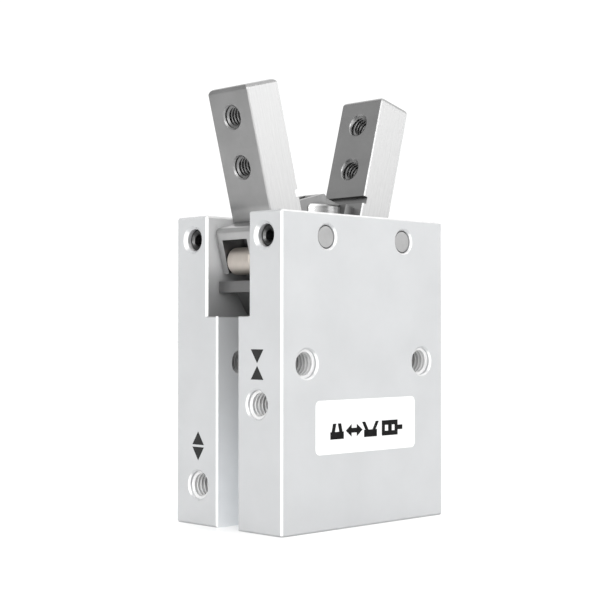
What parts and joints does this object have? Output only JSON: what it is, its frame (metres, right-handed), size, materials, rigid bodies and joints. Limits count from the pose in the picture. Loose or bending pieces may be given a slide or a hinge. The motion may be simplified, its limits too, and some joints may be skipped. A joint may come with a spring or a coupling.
{
  "type": "pneumatic gripper",
  "caption": "Compact air-driven angular gripper: a square-edged metal block with swinging fingers on cross pins, threaded mounting holes, side sensor grooves and air ports.",
  "frame": {"origin": "centre of the block's flat base", "axes": "+Z from the base towards the fingertips; +X across the two pivots, with the air ports on the -X side; +Y from the labelled front face to the back"},
  "size_m": [0.0422, 0.0277, 0.0792],
  "materials": {
    "anodised_body": "satin anodised",
    "finger_steel": "ground",
    "bright_steel": "polished",
    "bronze": "plain sintered",
    "roller_steel": "ground",
    "black_steel": "black oxide",
    "piston_metal": "machined",
    "magnet": "bonded magnet",
    "wear_plastic": "plain",
    "seal_rubber": "moulded",
    "label_film": "printed film",
    "mark_ink": "filled engraving"
  },
  "bodies": {
    "block": {"housing": "anodised_body", "port_marks": "mark_ink", "label": "label_film", "end_cap": "piston_metal", "end_cap_oring": "seal_rubber", "snap_ring": "black_steel", "bumper": "seal_rubber", "set_screws": "black_steel", "pivot_pin_left": "bright_steel", "pivot_pin_right": "bright_steel"},
    "left_finger": {"finger_left": "finger_steel", "bush_left": "bronze", "roller_pin_left": "bright_steel"},
    "right_finger": {"finger_right": "finger_steel", "bush_right": "bronze", "roller_pin_right": "bright_steel"},
    "left_roller": {"roller_left": "roller_steel"},
    "right_roller": {"roller_right": "roller_steel"},
    "inner_drive": {"drive_rod": "bright_steel", "drive_pin": "bright_steel", "piston_inner": "piston_metal", "piston_inner_seal": "seal_rubber", "piston_magnet": "magnet", "wear_ring": "wear_plastic", "piston_nut": "bright_steel"},
    "outer_drive": {"push_plate": "finger_steel", "piston_outer": "piston_metal", "piston_outer_seal": "seal_rubber", "rod_seal": "seal_rubber", "piston_clip": "black_steel"}
  },
  "joints": [
    {"name": "left_finger_swing", "type": "hinge", "parent": "block", "child": "left_finger", "pos_m": [-0.01, 0, 0.051], "axis": [0, 1, 0], "range_deg": [0, 20]},
    {"name": "right_finger_swing", "type": "hinge", "parent": "block", "child": "right_finger", "pos_m": [0.01, 0, 0.051], "axis": [0, -1, 0], "range_deg": [0, 20]},
    {"name": "inner_piston_travel", "type": "slide", "parent": "block", "child": "inner_drive", "axis": [0, 0, -1], "range_m": [0, 0.00353]},
    {"name": "outer_piston_travel", "type": "slide", "parent": "block", "child": "outer_drive", "axis": [0, 0, 1], "range_m": [0, 0.00249]},
    {"name": "left_roller_spin", "type": "hinge", "parent": "left_finger", "child": "left_roller", "pos_m": [-0.01614, 0, 0.04708], "axis": [0, 1, 0], "continuous": true},
    {"name": "right_roller_spin", "type": "hinge", "parent": "right_finger", "child": "right_roller", "pos_m": [0.01614, 0, 0.04708], "axis": [0, 1, 0], "continuous": true}
  ],
  "couplings": [
    {"joint": "right_finger_swing", "follows": "left_finger_swing", "ratio": 1},
    {"joint": "inner_piston_travel", "follows": "left_finger_swing", "m_per_rad": 0.010103},
    {"joint": "outer_piston_travel", "follows": "left_finger_swing", "m_per_rad": 0.007105}
  ]
}
